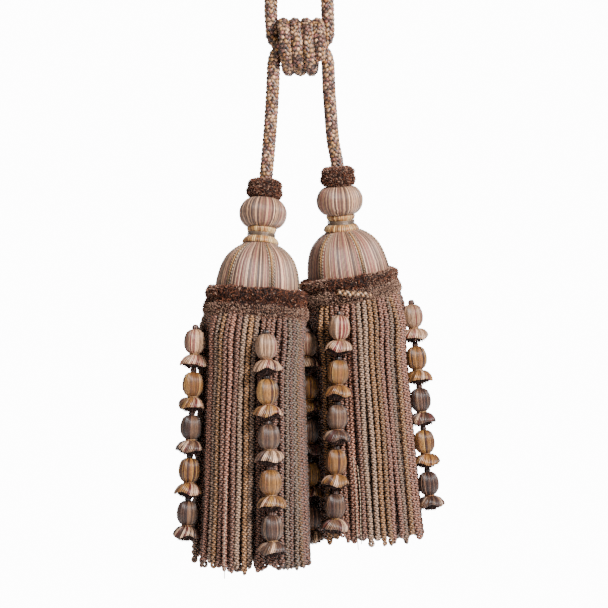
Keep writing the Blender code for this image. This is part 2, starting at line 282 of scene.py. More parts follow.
# %% The cord's route
CORD_ROUTE = (
    (-23.9, -14.8, -180.9), (-22.8, -13.0, -166.9), (-20.6, -10.2, -141.8), (-19.0, -7.9, -118.6),
    (-18.0, -6.2, -98.0), (-17.7, -5.8, -90.0), (-16.9, -5.6, -84.0), (-14.6, -5.5, -79.0),
    (-10.0, -5.4, -75.9), (-4.1, -3.2, -79.4), (1.8, 0.9, -80.3), (7.6, 4.5, -78.0),
    (12.8, 5.4, -74.0), (17.0, 5.4, -71.3), (20.0, 4.4, -67.0), (20.4, 2.5, -61.0),
    (20.2, 1.0, -54.0), (19.8, 0.0, -42.0), (18.9, 0.0, -32.0), (17.6, 0.0, -21.0),
    (15.2, 0.0, -10.5), (10.8, 0.0, -0.2), (0.0, 0.0, 4.2), (-10.8, 0.0, -0.2),
    (-15.2, 0.0, -10.5), (-17.4, 0.0, -21.0), (-18.7, 0.0, -32.0), (-19.5, 0.0, -42.0),
    (-19.7, 0.6, -51.0), (-19.3, 1.6, -57.5), (-18.9, 2.8, -62.5), (-18.6, 4.2, -67.0),
    (-15.5, 5.3, -71.5), (-10.5, 5.4, -73.9), (-4.1, 3.2, -70.4), (1.8, -0.9, -69.5),
    (7.6, -4.5, -71.8), (12.8, -5.4, -75.8), (17.4, -5.2, -79.5), (19.8, -4.6, -84.5),
    (20.4, -3.8, -91.0), (20.9, -1.8, -104.0), (21.9, 0.2, -117.6), (23.9, 3.9, -140.3),
    (26.7, 8.0, -154.5), (27.9, 10.1, -170.0),
)
CORD_RADIUS = 4.2 * MM
CARRIERS = 8
PLAIT_PITCH = 27 * MM
LEFT_YARNS = (GOLD, AMBER, DUSTY, MAUVE, CREAM, ROSE, GOLD, PEARL)
RIGHT_YARNS = (GOLD, MAUVE, PEARL, DUSTY, MAUVE, PEARL, CREAM, DUSTY)


# %% Plait the cord
def plait(name, points, size):
    """A round plait about a route, with its radius at each point. A yarn is over in its own columns."""
    crossings = distances_along(points) * 2 * CARRIERS / PLAIT_PITCH
    paths, radii, colours = [], [], []
    for way, shades, over in ((1, LEFT_YARNS, 0.5), (-1, RIGHT_YARNS, 2.5)):
        for number in range(CARRIERS):
            place = 2 * number + way * crossings
            rise = np.cos(math.tau * (place - over) / 4)
            paths.append(round_route(points, math.pi * place / CARRIERS, size * (0.72 + 0.19 * rise)))
            radii.append(size * 0.3)
            colours.append(shades[number])
    # A core fills the middle of the plait, and its near-black brown is painted shade in the gaps between
    # the yarns.
    paths.append(points)
    radii.append(size * 0.66)
    colours.append(BROWN)
    return make_yarns(name, paths, radii, colours, CORD_YARN, corners=6)


route = smooth_route(np.array(CORD_ROUTE) * MM, 1.25 * MM)
cord = plait("plaited_cord", route, np.full(len(route), CORD_RADIUS))
print("cord:", round(length_of(route), 3), "m,", len(cord.data.polygons), "faces")

# %% [markdown]
# ## The barrel knot
# The same plaited cord is wound round both runs, a little more than three and a half turns of it. A helix
# gives its path, and its ends are pressed narrower, where they are tucked in.

# %% Wind the knot
KNOT_HEIGHT = -74.9 * MM
WRAP_RADIUS = 16.0 * MM
WRAP_PITCH = 7.95 * MM
WRAP_FIRST_TOP = -11.2 * MM
WRAP_TURNS = (-0.25, 3.37)
WRAP_CORD_RADIUS = 4.0 * MM
WRAP_STEPS = 270

turns = np.linspace(*WRAP_TURNS, WRAP_STEPS)
winding = np.column_stack([
    WRAP_FIRST_TOP + WRAP_PITCH * turns,
    -WRAP_RADIUS * np.sin(math.tau * turns),
    KNOT_HEIGHT + WRAP_RADIUS * np.cos(math.tau * turns),
])
share = distances_along(winding)
share /= share[-1]
pressed = np.minimum(1, 0.55 + 30 * np.minimum(share, 1 - share))
wrap = plait("barrel_knot", winding, WRAP_CORD_RADIUS * pressed)
print("knot:", len(wrap.data.polygons), "faces")

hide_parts("tieback_cord")
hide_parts("knot_wrap")
for piece in (cord, wrap):
    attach(piece, "root")

# %% [markdown]
# ## Where each tassel hangs
# The two tassels lean a little apart. Each part of a head is made upright at the origin, and then moved
# to a place that repeats the solid's own: a shift, and a turn of its axis. The leans are degrees to the
# right and to the back.

# %% Places of the heads
GAP = 0.3 * MM
BALL_TOP = 14.5 * MM
NECK_TOP = 35.3 * MM
NECK_HEIGHT = 11.0 * MM
NECK_FOOT_RADIUS = 12.6 * MM
DOME_HEIGHT = 48.2 * MM
COLLAR_HEIGHT = 17.4 * MM
TASSELS = {
    "left": {
        "ruff_top": (-22.8, -13.0, -166.9),
        "upper": (-4.4, -7.4),
        "lower": (-3.9, -2.0),
        "skirt": (0.0, -1.5),
    },
    "right": {
        "ruff_top": (27.0, 8.3, -156.0),
        "upper": (3.8, 7.4),
        "lower": (9.0, 5.5),
        "skirt": (3.5, 1.5),
    },
}


def hanging_direction(lean):
    right, back = lean
    return Vector((math.tan(math.radians(right)), math.tan(math.radians(back)), -1)).normalized()


def placed(point, lean):
    turn = Vector((0, 0, -1)).rotation_difference(hanging_direction(lean)).to_matrix().to_4x4()
    return Matrix.Translation(point) @ turn


for facts in TASSELS.values():
    top = Vector(facts["ruff_top"]) * MM
    down = hanging_direction(facts["upper"])
    turn = down.angle(hanging_direction(facts["lower"]))
    dome_top = top + down * (NECK_TOP + NECK_HEIGHT + GAP + NECK_FOOT_RADIUS * math.tan(turn))
    facts["ruff_place"] = placed(top, facts["upper"])
    facts["ball_place"] = placed(top + down * (BALL_TOP + 1.2 * MM), facts["upper"])
    facts["neck_place"] = placed(top + down * (NECK_TOP + 0.8 * MM), facts["upper"])
    facts["dome_place"] = placed(dome_top, facts["lower"])
    facts["collar_place"] = facts["dome_place"] @ Matrix.Translation((0, 0, COLLAR_HEIGHT - DOME_HEIGHT))
    facts["heading"] = facts["dome_place"] @ Vector((0, 0, -DOME_HEIGHT - GAP))
    print("fringe's heading:", [round(value, 4) for value in facts["heading"]])

# %% [markdown]
# ## Thread-covered shapes
# A wooden mould is turned, and covered with threads that run over it from top to bottom. Each thread
# could be swept, but hundreds lie side by side, so a profile is spun into the shape, each thread's
# stretch of it gets its own dye, and the UV map counts threads round the shape, so that the shared
# stripes raise them.

# %% Helpers for turned shapes
def streaks(count, shades, seed, spread=0.25):
    """Dyes for threads, in runs of one or two, by turns from the shades' first half and second half."""
    rng = np.random.default_rng(seed)
    half = len(shades) // 2
    light, dark = rng.integers(0, half, count), rng.integers(half, len(shades), count)
    picks = np.where(np.arange(count) % 2 == 0, light, dark)
    chosen = np.repeat(np.array(shades)[picks], rng.integers(1, 3, count), axis=0)[:count]
    return chosen * (1 + spread * rng.uniform(-1, 1, (count, 1)))


def spun(profile, sides):
    """A profile of (radius, height) pairs, spun about Z."""
    work = bmesh.new()
    points = [work.verts.new((radius, 0, height)) for radius, height in profile]
    edges = [work.edges.new(pair) for pair in zip(points, points[1:])]
    whole = {"steps": sides, "angle": math.tau, "use_merge": True}
    bmesh.ops.spin(work, geom=points + edges, axis=(0, 0, 1), cent=(0, 0, 0), **whole)
    bmesh.ops.remove_doubles(work, verts=work.verts, dist=1e-7)
    bmesh.ops.recalc_face_normals(work, faces=work.faces)
    mesh = bpy.data.meshes.new("turned")
    work.to_mesh(mesh)
    work.free()
    return mesh


def count_threads(mesh, share, heights, threads):
    """A UV map that counts the threads round a spun mesh, from each point's share of the way round."""
    corners = np.empty(len(mesh.loops), np.int32)
    mesh.loops.foreach_get("vertex_index", corners)
    around = share[corners].reshape(-1, 4)
    around += (around.max(axis=1, keepdims=True) - around > 0.5) * 1.0
    uv = np.column_stack([around.ravel() * threads, np.abs(heights[corners]) * 100])
    mesh.uv_layers.new(name="UVMap").data.foreach_set("uv", uv.ravel().astype(np.float32))


def turned(profile, sides, dyes, threads, swirl=0.0, lump=0.0, shape=None):
    """A thread-covered shape. Lump makes its threads uneven, and swirl turns them on their way down."""
    mesh = spun(profile, sides)
    places = np.empty(len(mesh.vertices) * 3, np.float32)
    mesh.vertices.foreach_get("co", places)
    places = places.reshape(-1, 3)
    angles = np.arctan2(places[:, 1], places[:, 0])
    share = (angles / math.tau) % 1
    number = np.floor(share * len(dyes)).astype(int) % len(dyes)
    add_attribute(mesh, "colour", dyes[number])
    add_attribute(mesh, "along", np.zeros(len(places)))
    count_threads(mesh, share, places[:, 2], threads)

    rng = np.random.default_rng(sides)
    bumps = rng.uniform(-1, 1, len(dyes))[number] * lump
    reach = np.hypot(places[:, 0], places[:, 1]) * (1 + bumps)
    angles = angles - swirl * (places[:, 2] - profile[0][1])
    places[:, 0], places[:, 1] = reach * np.cos(angles), reach * np.sin(angles)
    if shape:
        places = shape(places, angles)
    mesh.vertices.foreach_set("co", places.ravel())
    mesh.shade_smooth()
    return mesh


def joined(name, meshes, material):
    """Several meshes as one piece. Each comes with the place it is moved to."""
    pieces = []
    for number, (mesh, place) in enumerate(meshes):
        mesh.transform(place)
        pieces.append(show(mesh, f"{name}_{number}", material))
    with bpy.context.temp_override(active_object=pieces[0], selected_editable_objects=pieces):
        bpy.ops.object.join()
    pieces[0].name = name
    return pieces[0]


def in_mm(rows, steps=1):
    """A profile in metres, with extra points on a smooth curve between the given ones."""
    rows = np.array([(radius, 0, height) for radius, height in rows]) * MM
    if steps > 1:
        rows = smooth_route(rows, length_of(rows) / (len(rows) * steps))
    return [(max(row[0], 1e-5), row[2]) for row in rows]


THREAD = make_yarn_material("wound thread", 1.0, 1, 0.85, 0.9, 0.2 * MM, 0.46)
DROP_THREAD = make_yarn_material("drop thread", 1.0, 1, 0.9, 1.0, 0.25 * MM, 0.4)
DROP_THREAD.node_tree.nodes["Principled BSDF"].inputs["Sheen Weight"].default_value = 0.05

# %% [markdown]
# ## The heads
# Each head is a ball, a gold neck bound with fine wire and a dome. The threads of ball and dome are light
# and dark by turns. Six lines of gimp run down the dome: a gold twist between two dotted cords, swept as
# yarns of their own.

# %% Profiles and dyes of the heads
WIRE = make_yarn_material("fine wire", 0.9 * MM, 1, 0.2, 0.3, 0.05 * MM, 0.3)
WIRE.node_tree.nodes["Principled BSDF"].inputs["Metallic"].default_value = 0.6
BALL_SHADES = (PALE, CREAM, PEARL, CREAM, ROSE, DUSTY, MAUVE, PEARL)
DOME_SHADES = (PALE, CREAM, PEARL, PALE, ROSE, DUSTY, PEARL, MAUVE, ROSE)
NECK_SHADES = (
    (0.56, 0.28, 0.08), (0.72, 0.42, 0.15), (0.34, 0.14, 0.035), (0.80, 0.51, 0.22), (0.42, 0.165, 0.04),
)
BALL_PROFILE = (
    (0.1, 0.2), (9.4, 0.0), (13.6, -2.6), (16.0, -7.0),
    (16.4, -10.6), (15.4, -15.2), (12.6, -18.8), (9.2, -20.5),
)
NECK_PROFILE = (
    (0.1, -0.2), (9.4, 0.1), (10.0, -1.6), (9.4, -3.2), (8.5, -3.8),
    (8.5, -6.1), (10.6, -6.8), (12.2, -8.8), (12.7, -10.6), (12.0, -11.2),
)
DOME_PROFILE = (
    (5.0, 3.0), (10.0, 2.2), (13.4, -0.6), (17.9, -3.6), (22.6, -8.4),
    (25.8, -14.6), (27.8, -21.8), (28.9, -29.6), (29.2, -48.0),
)
GIMP_ANGLES = (-42, 21, 80, 139, 199, 257)
DOT_LIGHT = np.array((0.36, 0.27, 0.17))
DOT_DARK = np.array((0.06, 0.03, 0.02))
WIRE_COLOUR = (0.19, 0.135, 0.10)
WIRE_REACH = 9.5 * MM
WIRE_TURNS = 4


# %% Gimp and wire
def gimp_paths(profile, angle):
    """The gold twist's two plies and the dotted cords beside it, at an angle from the front."""
    line = np.array([(radius, 0, height) for radius, height in profile if radius > 12 * MM])
    line = smooth_route(line, 0.5 * MM)
    down = distances_along(line)
    paths, radii, colours = [], [], []
    for aside, kind in ((-1.6, "dots"), (-0.15, "twist"), (0.15, "twist"), (1.6, "dots")):
        if kind == "dots":
            wave = np.sin(math.tau * down / (2.4 * MM) + aside)
            radii.append((0.42 + 0.2 * wave) * MM)
            lift, sway = np.full(len(line), 0.1 * MM), aside * MM
            colours.append(np.where(wave[:, None] > 0, DOT_LIGHT, DOT_DARK))
        else:
            phase = math.tau * down / (3.4 * MM) + (math.pi if aside > 0 else 0)
            radii.append(np.full(len(line), 0.4 * MM))
            lift, sway = (0.2 + 0.4 * np.cos(phase)) * MM, 0.42 * MM * np.sin(phase)
            # Painted light and shade: each ply is lighter where it rises over the other and darker where it
            # dips.
            colours.append(np.array(GOLD) * (0.6 + 0.45 * np.cos(phase))[:, None])
        reach = line[:, 0] + lift
        turn = math.radians(angle) + sway / line[:, 0]
        paths.append(np.column_stack([reach * np.sin(turn), -reach * np.cos(turn), line[:, 2]]))
    return paths, radii, colours


def moved(paths, place):
    turn, shift = np.array(place.to_3x3()), np.array(place.translation)
    return [path @ turn.T + shift for path in paths]


turns = np.linspace(0, WIRE_TURNS, WIRE_TURNS * 36)
wire_path = np.column_stack([
    WIRE_REACH * np.cos(math.tau * turns),
    WIRE_REACH * np.sin(math.tau * turns),
    (-3.6 - 0.7 * turns) * MM,
])

# %% Ball, neck, wire and dome
for number, (side, facts) in enumerate(TASSELS.items()):
    mesh = turned(in_mm(BALL_PROFILE, 3), 260, streaks(130, BALL_SHADES, 3 + number, 0.45), 130, lump=0.006)
    ball = joined(f"{side}_ball_threads", [(mesh, facts["ball_place"])], THREAD)
    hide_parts(f"{side}_ball")
    mesh = turned(in_mm(NECK_PROFILE, 2), 160, streaks(52, NECK_SHADES, 13 + number, 0.35), 52, lump=0.02)
    neck = joined(f"{side}_neck_threads", [(mesh, facts["neck_place"])], THREAD)
    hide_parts(f"{side}_neck")
    profile = in_mm(DOME_PROFILE, 3)
    mesh = turned(profile, 400, streaks(200, DOME_SHADES, 23 + number, 0.45), 200, lump=0.004)
    dome = joined(f"{side}_dome_threads", [(mesh, facts["dome_place"])], THREAD)
    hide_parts(f"{side}_dome")
    paths, radii, colours = [], [], []
    for angle in GIMP_ANGLES:
        for kept, more in zip((paths, radii, colours), gimp_paths(profile, angle)):
            kept.extend(more)
    gimp = make_yarns(f"{side}_gimp", moved(paths, facts["dome_place"]), radii, colours, THREAD)
    coil = moved([wire_path], facts["neck_place"])
    wire = make_yarns(f"{side}_wire", coil, [0.3 * MM], [WIRE_COLOUR], WIRE, corners=6)
    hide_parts(f"{side}_wire_wrap")
    dressed = (
        (ball, "rose_thread"), (neck, "gold_thread"), (dome, "rose_thread"),
        (gimp, "gold_thread"), (wire, "wire_thread"),
    )
    for piece, slot in dressed:
        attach(piece, "root")
print("dome:", len(dome.data.polygons), "faces, gimp:", len(gimp.data.polygons))

# %% [markdown]
# ## Chenille
# Chenille is cut pile. Hair would do for a picture, but a mesh has to carry it, so a Geometry Nodes group
# sows thousands of small spikes over a base, leans each at random and makes them real. A spike keeps how
# far it is from root to tip, and a chance number that decides its dye.

# %% Pile
def make_pile_group():
    group = bpy.data.node_groups.new("cut pile", "GeometryNodeTree")
    nodes, links = group.nodes, group.links
    group.interface.new_socket("Geometry", in_out="INPUT", socket_type="NodeSocketGeometry")
    for name in ("Density", "Length", "Width"):
        group.interface.new_socket(name, in_out="INPUT", socket_type="NodeSocketFloat")
    group.interface.new_socket("Geometry", in_out="OUTPUT", socket_type="NodeSocketGeometry")
    given, result = nodes.new("NodeGroupInput"), nodes.new("NodeGroupOutput")

    sow = nodes.new("GeometryNodeDistributePointsOnFaces")
    links.new(given.outputs["Geometry"], sow.inputs["Mesh"])
    links.new(given.outputs["Density"], sow.inputs["Density"])
    chance = nodes.new("FunctionNodeRandomValue")
    chance.data_type = "FLOAT_VECTOR"
    chance.inputs[0].default_value = (-0.8, -0.8, -0.8)
    chance.inputs[1].default_value = (0.8, 0.8, 0.8)
    lean = nodes.new("ShaderNodeVectorMath")
    links.new(sow.outputs["Normal"], lean.inputs[0])
    links.new(chance.outputs[0], lean.inputs[1])
    align = nodes.new("FunctionNodeAlignRotationToVector")
    align.axis = "Z"
    links.new(lean.outputs[0], align.inputs["Vector"])

    spike = nodes.new("GeometryNodeMeshCone")
    spike.inputs["Vertices"].default_value = 3
    spike.inputs["Radius Top"].default_value = 0
    links.new(given.outputs["Width"], spike.inputs["Radius Bottom"])
    links.new(given.outputs["Length"], spike.inputs["Depth"])
    position = nodes.new("GeometryNodeInputPosition")
    height = nodes.new("ShaderNodeSeparateXYZ")
    links.new(position.outputs[0], height.inputs[0])
    share = maths(group, "DIVIDE", height.outputs["Z"], given.outputs["Length"])
    tip = nodes.new("GeometryNodeStoreNamedAttribute")
    tip.inputs["Name"].default_value = "tip"
    links.new(spike.outputs["Mesh"], tip.inputs["Geometry"])
    links.new(share, tip.inputs["Value"])

    size = nodes.new("FunctionNodeRandomValue")
    size.inputs[2].default_value = 0.6
    size.inputs[3].default_value = 1.2
    plant = nodes.new("GeometryNodeInstanceOnPoints")
    links.new(sow.outputs["Points"], plant.inputs["Points"])
    links.new(tip.outputs["Geometry"], plant.inputs["Instance"])
    links.new(align.outputs[0], plant.inputs["Rotation"])
    links.new(size.outputs[1], plant.inputs["Scale"])
    dye = nodes.new("FunctionNodeRandomValue")
    dye.inputs["Seed"].default_value = 5
    mark = nodes.new("GeometryNodeStoreNamedAttribute")
    mark.domain = "INSTANCE"
    mark.inputs["Name"].default_value = "tuft"
    links.new(plant.outputs[0], mark.inputs["Geometry"])
    links.new(dye.outputs[1], mark.inputs["Value"])
    real = nodes.new("GeometryNodeRealizeInstances")
    links.new(mark.outputs[0], real.inputs[0])
    join = nodes.new("GeometryNodeJoinGeometry")
    links.new(real.outputs[0], join.inputs[0])
    links.new(given.outputs["Geometry"], join.inputs[0])
    links.new(join.outputs[0], result.inputs[0])
    return group


PILE = make_pile_group()


def with_pile(mesh, density, length, width):
    """A copy of a mesh with pile standing on it. Density is spikes for each square millimetre."""
    base = bpy.data.objects.new("base", mesh)
    bpy.context.collection.objects.link(base)
    pile = base.modifiers.new("pile", "NODES")
    pile.node_group = PILE
    for item in PILE.interface.items_tree:
        values = {"Density": density * 1e6, "Length": length, "Width": width}
        if item.in_out == "INPUT" and item.name in values:
            pile[item.identifier] = float(values[item.name])
    graph = bpy.context.evaluated_depsgraph_get()
    grown = bpy.data.meshes.new_from_object(base.evaluated_get(graph))
    bpy.data.objects.remove(base)
    return grown


# %% Dyes of the pile
def ramp(tree, share, first, last):
    """A colour between two, by a share."""
    node = tree.nodes.new("ShaderNodeValToRGB")
    node.color_ramp.elements[0].color = (*first, 1)
    node.color_ramp.elements[1].color = (*last, 1)
    tree.links.new(share, node.inputs["Fac"])
    return node.outputs["Color"]


def mixed(tree, share, first, second):
    """The first colour where the share is 0, and the second where it is 1."""
    node = tree.nodes.new("ShaderNodeMix")
    node.data_type = "RGBA"
    tree.links.new(share, node.inputs["Factor"])
    for socket, value in ((node.inputs[6], first), (node.inputs[7], second)):
        if isinstance(value, tuple):
            socket.default_value = (*value, 1)
        else:
            tree.links.new(value, socket)
    return node.outputs[2]


def make_pile_material(name, deep, rust):
    """Roots darkened with painted shade, and rust tips. The base's own number says where beige spikes are
    common.
    """
    material = bpy.data.materials.new(name)
    material.use_nodes = True
    tree = material.node_tree
    shader = tree.nodes["Principled BSDF"]
    shader.inputs["Roughness"].default_value = 0.75
    shader.inputs["Specular IOR Level"].default_value = 0.25
    tuft = attribute(tree, "tuft").outputs["Fac"]
    clumps = maths(tree, "MULTIPLY_ADD", noise(tree, 420), 3.2, -1.5)
    dark = ramp(tree, maths(tree, "MULTIPLY_ADD", tuft, 0.5, clumps), deep, rust)
    beige = ramp(tree, tuft, (0.17, 0.075, 0.055), (0.50, 0.30, 0.20))
    chance = maths(tree, "FRACT", maths(tree, "MULTIPLY", tuft, 7.0))
    pale = maths(tree, "LESS_THAN", chance, attribute(tree, "light").outputs["Fac"])
    dyed = mixed(tree, pale, dark, beige)
    # Painted shade: each spike darkens towards its root, deep in the pile.
    root_shaded = mixed(tree, attribute(tree, "tip").outputs["Fac"], (0.008, 0.003, 0.002), dyed)
    tree.links.new(root_shaded, shader.inputs["Base Color"])
    return material


CHENILLE = make_pile_material("chenille", (0.028, 0.008, 0.005), (0.27, 0.085, 0.038))
DARK_TUFT = make_pile_material("dark tuft", (0.012, 0.005, 0.004), (0.10, 0.04, 0.03))

# %% [markdown]
# ## The ruffs
# A small ruff sits where the cord enters each tassel, and a large collar hides the top of the fringe. The
# collar's upper band is dark rust, and its lower band is mostly beige. A lumpy ring is turned for each,
# and pile sown on it.

# %% Ruffs
def ruff_base(profile, sides, light_at, wobble):
    """A lumpy ring for the pile to stand on, with the chance of a beige spike at each point."""
    def lumps(places, angles):
        wave = sum(math.sqrt(1 / k) * np.sin(k * angles + 1.7 * k) for k in (3, 5, 8, 13)) * wobble
        out = places.copy()
        wave = wave + np.random.default_rng(sides).uniform(-1.2, 1.2, len(places)) * wobble
        out[:, :2] *= (1 + wave / np.hypot(places[:, 0], places[:, 1]))[:, None]
        out[:, 2] += 0.8 * wobble * np.sin(7 * angles + 4)
        return out
    mesh = turned(profile, sides, np.full((8, 3), BROWN), 8, shape=lumps)
    places = np.array([point.co for point in mesh.vertices])
    add_attribute(mesh, "light", light_at(places, np.arctan2(places[:, 0], -places[:, 1])))
    return mesh


TOP_RUFF = (
    (4.0, -4.0), (7.0, -2.6), (10.2, -4.0), (11.2, -6.4), (10.6, -8.0),
    (11.4, -9.6), (11.4, -12.2), (9.6, -14.6), (4.5, -15.4),
)
COLLAR = (
    (28.6, -1.0), (31.4, -0.2), (33.6, -2.2), (34.2, -5.4), (33.0, -8.6),
    (34.2, -11.4), (35.0, -15.0), (34.6, -18.4), (31.0, -20.2),
)
COLLAR_DEPTH = {"left": 1, "right": 0.87}


def even_lights(places, angles):
    return np.full(len(places), 0.30)


def left_lights(places, angles):
    return 0.05 + 0.7 * (places[:, 2] < -11.5 * MM) + 0.4 * (angles < -0.85)


def right_lights(places, angles):
    return 0.04 + 0.7 * (places[:, 2] < -8.5 * MM) + 0.5 * (angles < -0.5) + 0.4 * (angles > 0.35)


COLLAR_LIGHTS = {"left": left_lights, "right": right_lights}
for side, facts in TASSELS.items():
    base = ruff_base(in_mm(TOP_RUFF, 2), 64, even_lights, 0.45 * MM)
    grown = with_pile(base, 2.6, 1.4 * MM, 0.52 * MM)
    ruff = joined(f"{side}_top_chenille", [(grown, facts["ruff_place"])], CHENILLE)
    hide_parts(f"{side}_top_ruff")
    profile = [(radius, height * COLLAR_DEPTH[side]) for radius, height in COLLAR]
    base = ruff_base(in_mm(profile, 2), 160, COLLAR_LIGHTS[side], 0.55 * MM)
    grown = with_pile(base, 1.9, 1.6 * MM, 0.6 * MM)
    collar = joined(f"{side}_collar_chenille", [(grown, facts["collar_place"])], CHENILLE)
    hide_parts(f"{side}_collar_ruff")
    for piece in (ruff, collar):
        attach(piece, "root")
print("collar:", len(collar.data.polygons), "faces, top ruff:", len(ruff.data.polygons))

# %% [markdown]
# ## The heading cord
# On the right tassel a short stretch of the fringe's heading cord peeps out between the collar's two
# bands. It is two plies, a cream one and a gold one, wound about an arc on the collar that dips into the
# pile at both ends.

# %% Heading cord
HEADING_CORD_ANGLES = (math.radians(-17), math.radians(24))
HEADING_CORD_HEIGHTS = (-8.6, -14.6)
HEADING_CORD_PITCH = 6 * MM
HEADING_CORD_DYES = ((0.46, 0.27, 0.15), (0.38, 0.18, 0.07))
STEPS = 60

turn = np.linspace(*HEADING_CORD_ANGLES, STEPS)
reach = (35.0 - 1.6 * np.abs(np.linspace(-1, 1, STEPS)) ** 3) * MM
level = np.linspace(*HEADING_CORD_HEIGHTS, STEPS) * MM
arc = np.column_stack([reach * np.sin(turn), -reach * np.cos(turn), level])
phases = math.tau * distances_along(arc) / HEADING_CORD_PITCH
plies = [round_route(arc, phases + half, np.full(STEPS, 1.0 * MM)) for half in (0, math.pi)]
plies = moved(plies, TASSELS["right"]["collar_place"])
heading_cord = make_yarns("heading_cord", plies, [1.2 * MM] * 2, HEADING_CORD_DYES, CORD_YARN, corners=6)
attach(heading_cord, "root")
print("heading cord:", round(length_of(arc) / MM), "mm")

# %% [markdown]
# ## The bullion fringe
# Each rope is one long strand, folded in two and twisted, so it ends in a small round loop. It hangs from
# the heading and bends in where drops lie on it. Three rows of ropes fill the fringe, coarser towards the
# middle, where only glimpses show. Each rope's middle line is worked out first, and its strand then wound
# about that line.

# %% Where the strings of drops hang
HEADING_RADIUS = 36.0 * MM
ROW_DEPTH = 4.0 * MM
SKIRT_LENGTH = 165.2 * MM
SKIRT_BOTTOM_RADIUS = 42.0 * MM
BEND_DEPTH = 26.0 * MM
# Side, angle in degrees from the front at the first and at the last drop, first drop's height and pitch
# in mm.
STRINGS = (
    ("left", -72, -76, -279.2, 29.0),
    ("left", 11, 15, -281.8, 29.7),
    ("left", 124, 126, -282.1, 30.3),
    ("left", 206, 206, -281.0, 29.5),
    ("right", -15, -27, -269.9, 30.7),
    ("right", 78, 78, -262.3, 29.6),
    ("right", 162, 162, -268.0, 30.0),
    ("right", -112, -112, -269.0, 30.2),
)
DROP_REACH = 9.7 * MM


def skirt_centre(side, height):
    facts = TASSELS[side]
    down = hanging_direction(facts["skirt"])
    return facts["heading"] + down * ((facts["heading"].z - height) / -down.z)


def skirt_radius(side, height):
    share = (TASSELS[side]["heading"].z - height) / SKIRT_LENGTH
    return HEADING_RADIUS + (SKIRT_BOTTOM_RADIUS - HEADING_RADIUS) * share


def round_the_front(angle):
    return Vector((math.sin(angle), -math.cos(angle), 0))


def string_point(string, height):
    side, top_angle, bottom_angle, first, pitch = string
    ends = []
    for angle, below in ((top_angle, 0), (bottom_angle, 4)):
        level = (first - pitch * below) * MM
        reach = skirt_radius(side, level) + 6.2 * MM
        ends.append(skirt_centre(side, level) + round_the_front(math.radians(angle)) * reach)
    top, bottom = ends
    return top + (bottom - top) * ((top.z - height) / (top.z - bottom.z))


def pushed_in(side, angle, row):
    """How far in the drops press a rope: the most that any of them needs on its length."""
    need = DROP_REACH + 2.0 * MM + GAP
    push = 0.0
    for level in range(8):
        height = TASSELS[side]["heading"].z - BEND_DEPTH - (SKIRT_LENGTH - BEND_DEPTH) * level / 8
        free = (HEADING_RADIUS - ROW_DEPTH * (row + 0.5)) * skirt_radius(side, height) / HEADING_RADIUS
        for string in STRINGS:
            away = string_point(string, height) - skirt_centre(side, height)
            turn = angle - math.atan2(away.x, -away.y)
            aside = away.length * abs(math.sin(turn))
            if math.cos(turn) > 0 and aside < need:
                limit = away.length * math.cos(turn) - math.sqrt(need**2 - aside**2) - row * ROW_DEPTH
                push = max(push, free - limit)
    return push


# %% The ropes' middle lines
def heading_level(side, angle):
    """The height of the leaning heading's rim at an angle from the front."""
    down = hanging_direction(TASSELS[side]["lower"])
    aside = round_the_front(angle) * HEADING_RADIUS
    return TASSELS[side]["heading"].z + (aside.x * down.x + aside.y * down.y) / -down.z


SLANT = {"left": 0.14, "right": 0.03}
FULL = 2.6 * MM
FULLER = {"left": (-2.3, -1.5), "right": (0.8, 1.15)}
FLATTER = {"left": (0.6, 2.5), "right": (0.0, 0.0)}
FLAT = 3.4 * MM


def rope_line(side, angle, row, rng, step):
    """The middle of one rope, down to its tip. The fringe is fuller at one flank and flatter at another."""
    top = heading_level(side, angle) + 1.5 * MM
    tip = TASSELS[side]["heading"].z - SKIRT_LENGTH - rng.uniform(-3.5, 4.0) * MM + 2 * MM * (row > 0)
    push = pushed_in(side, angle, row)
    sway, phase = rng.uniform(-0.9, 0.9, 2) * MM, rng.uniform(0, math.tau, 2)
    full = FULL * max(0, 1 - push / (3 * MM))
    first, last = FULLER[side]
    aside = FULL if first < angle < last and row == 0 else 0
    first, last = FLATTER[side]
    if first < angle < last:
        flat = math.sin(math.pi * (angle - first) / (last - first))
        full *= 1 - flat
        aside = -FLAT * flat
    line = []
    for height in np.linspace(top, tip, round((top - tip) / step)):
        below = top - height
        share = below / (top - tip)
        eased = min(below / BEND_DEPTH, 1)
        eased = eased * eased * (3 - 2 * eased)
        free = (HEADING_RADIUS - ROW_DEPTH * (row + 0.5)) * skirt_radius(side, height) / HEADING_RADIUS
        reach = free + (aside - push) * eased + share * abs(sway[0]) * math.sin(height * 40 + phase[0])
        reach += full * math.exp(-(((below / MM - 18) / 15) ** 2)) - 1.8 * MM * math.exp(-below / (5 * MM))
        swing = share * sway[1] + 0.4 * MM * math.sin(height * 55 + phase[1])
        turn = angle + SLANT[side] * math.exp(-below / (40 * MM)) + swing / reach
        line.append(skirt_centre(side, height) + round_the_front(turn) * reach)
    return np.array(line)


# %% Strands and dyes of the ropes
def looped(line, strand, pitch, twist):
    """One strand that runs down, turns round a small eye at the tip and winds back up beside itself."""
    distance = distances_along(line)
    left = distance[-1] - distance
    reach = strand * (0.74 + 0.4 * np.exp(-((left / (2.2 * MM)) ** 2)))
    angles = math.tau * distance / pitch + twist
    down = round_route(line, angles, reach)
    back = round_route(line, angles + math.pi, reach)[::-1]
    middle, across = (down[-1] + back[0]) / 2, (down[-1] - back[0]) / 2
    below = (line[-1] - line[-2]) / np.linalg.norm(line[-1] - line[-2]) * np.linalg.norm(across) * 1.2
    turns = np.linspace(0, math.pi, 7)[1:-1]
    bend = [middle + math.cos(turn) * across + math.sin(turn) * below for turn in turns]
    return np.vstack([down, bend, back])


